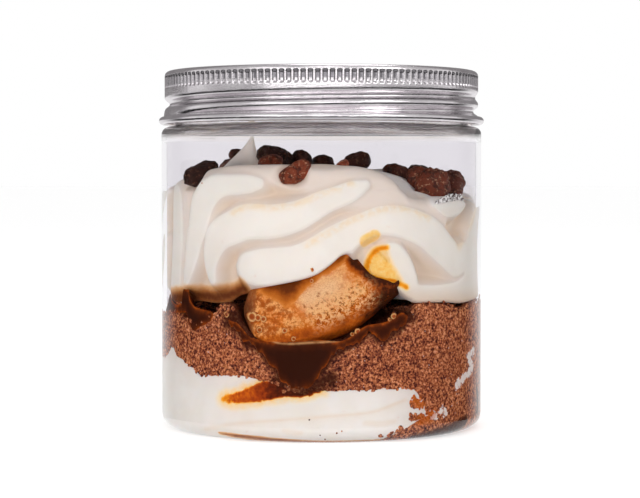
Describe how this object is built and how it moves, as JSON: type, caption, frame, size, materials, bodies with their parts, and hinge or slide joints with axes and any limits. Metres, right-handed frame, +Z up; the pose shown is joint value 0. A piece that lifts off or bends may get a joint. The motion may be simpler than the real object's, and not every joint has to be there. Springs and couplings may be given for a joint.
{
  "type": "tiramisu in a screw-top jar",
  "caption": "Layered tiramisu with cream, crumbled chocolate sponge, a coffee-soaked sponge finger and chocolate drops, shut in a clear jar with a metal screw lid.",
  "frame": {"origin": "centre of the jar's base, on the surface that it stands on", "axes": "+Z up along the jar's axis, -Y towards the front, where the sponge finger shows, +X to the right seen from the front"},
  "size_m": [0.0862, 0.0862, 0.094],
  "materials": {
    "jar": "clear blown plastic, high gloss",
    "lid": "satin",
    "cream": "whipped cream, soft sheen",
    "sponge": "moist crumbled chocolate sponge, matt",
    "finger": "soaked sponge finger, satin",
    "coffee": "coffee syrup, wet gloss",
    "drop": "dark chocolate, dull"
  },
  "bodies": {
    "root": {"jar": "jar", "lid": "lid", "cream_base": "cream", "chocolate_sponge": "sponge", "sponge_finger": "finger", "coffee_pool": "coffee", "coffee_film": "coffee", "piped_cream": "cream", "chocolate_drop_01": "drop", "chocolate_drop_02": "drop", "chocolate_drop_03": "drop", "chocolate_drop_04": "drop", "chocolate_drop_05": "drop", "chocolate_drop_06": "drop", "chocolate_drop_07": "drop", "chocolate_drop_08": "drop", "chocolate_drop_09": "drop", "chocolate_drop_10": "drop", "chocolate_drop_11": "drop", "chocolate_drop_12": "drop", "chocolate_drop_13": "drop", "chocolate_drop_14": "drop", "chocolate_drop_15": "drop", "chocolate_drop_16": "drop", "chocolate_drop_17": "drop", "chocolate_drop_18": "drop"}
  },
  "joints": []
}
